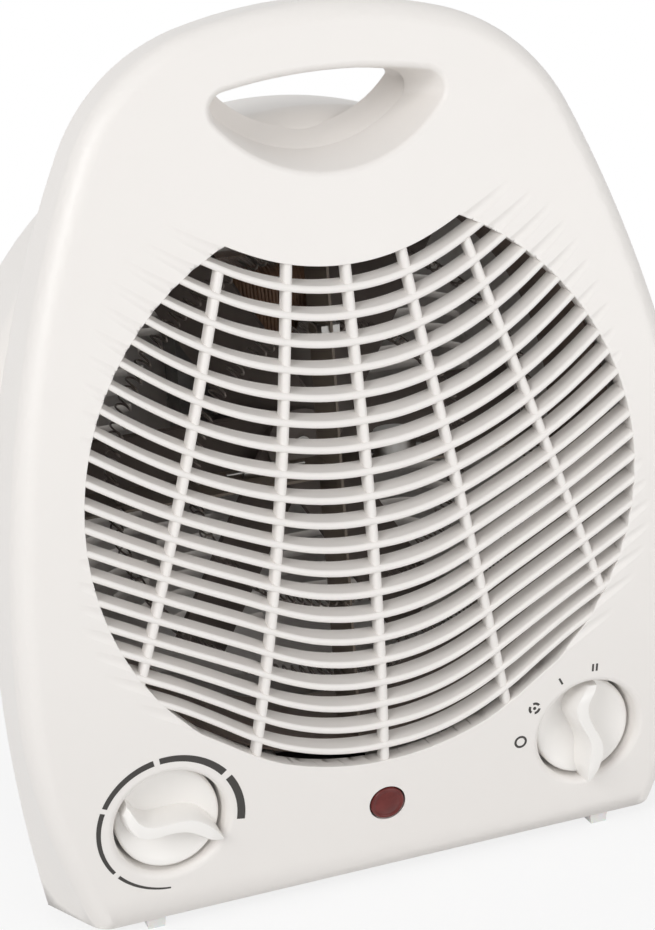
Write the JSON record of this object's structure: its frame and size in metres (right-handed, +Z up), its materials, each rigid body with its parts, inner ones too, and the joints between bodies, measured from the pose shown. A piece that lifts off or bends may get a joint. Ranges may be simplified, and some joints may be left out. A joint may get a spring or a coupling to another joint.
{
  "type": "fan heater",
  "caption": "Upright household fan heater with a slatted round grille, a carrying handle, two control knobs, an indicator lamp and a drum-shaped back.",
  "frame": {"origin": "on the floor under the middle of the bounding box", "axes": "+Z up, +Y from the front face to the back, +X to the right seen from the front"},
  "size_m": [0.2104, 0.118, 0.2588],
  "materials": {
    "shell_plastic": "fine satin moulding",
    "knob_plastic": "smooth satin moulding",
    "foot_plastic": "soft translucent plastic",
    "lamp_plastic": "dark red transparent plastic",
    "lamp_glass": "clear glass",
    "control_plastic": "black phenolic moulding",
    "plated_steel": "zinc plated steel",
    "shield_steel": "heat browned sheet steel",
    "mica": "pressed mica sheet",
    "resistance_wire": "oxidised resistance wire",
    "bearing_bronze": "sintered bronze",
    "fan_plastic": "grey heat resistant plastic",
    "core_steel": "stacked laminations",
    "winding_tape": "taped copper winding",
    "inlet_plastic": "moulded bush"
  },
  "bodies": {
    "housing": {"front_shell": "shell_plastic", "rear_shell": "shell_plastic", "front_feet": "foot_plastic", "rear_feet": "foot_plastic", "thermostat_body": "control_plastic", "selector_switch": "control_plastic", "thermostat_nut": "plated_steel", "selector_nut": "plated_steel", "lamp_lens": "lamp_plastic", "neon_lamp": "lamp_glass", "heat_shield": "shield_steel", "shield_screws": "plated_steel", "mica_plate_level": "mica", "mica_plate_upright": "mica", "outer_heating_wire": "resistance_wire", "inner_heating_wire": "resistance_wire", "element_terminals": "plated_steel", "thermal_cutout": "plated_steel", "thermal_fuse": "plated_steel", "motor_core": "core_steel", "motor_winding": "winding_tape", "front_bearing_bracket": "plated_steel", "rear_bearing_bracket": "plated_steel", "front_bearing": "bearing_bronze", "rear_bearing": "bearing_bronze", "motor_bolts": "plated_steel", "shell_screws": "plated_steel", "terminal_block": "control_plastic", "cord_inlet": "inlet_plastic"},
    "thermostat_control": {"thermostat_knob": "knob_plastic", "thermostat_spindle": "plated_steel"},
    "selector_control": {"selector_knob": "knob_plastic", "selector_spindle": "plated_steel"},
    "fan_rotor": {"fan": "fan_plastic", "motor_shaft": "plated_steel", "motor_rotor": "core_steel"}
  },
  "joints": [
    {"name": "thermostat_turn", "type": "hinge", "parent": "housing", "child": "thermostat_control", "pos_m": [-0.0659, -0.05495, 0.0357], "axis": [0, 1, 0], "range_deg": [-122, 157]},
    {"name": "selector_turn", "type": "hinge", "parent": "housing", "child": "selector_control", "pos_m": [0.0659, -0.05495, 0.0357], "axis": [0, 1, 0], "range_deg": [-90, 0]},
    {"name": "fan_spin", "type": "hinge", "parent": "housing", "child": "fan_rotor", "pos_m": [0, 0.011, 0.123], "axis": [0, 1, 0], "continuous": true}
  ]
}
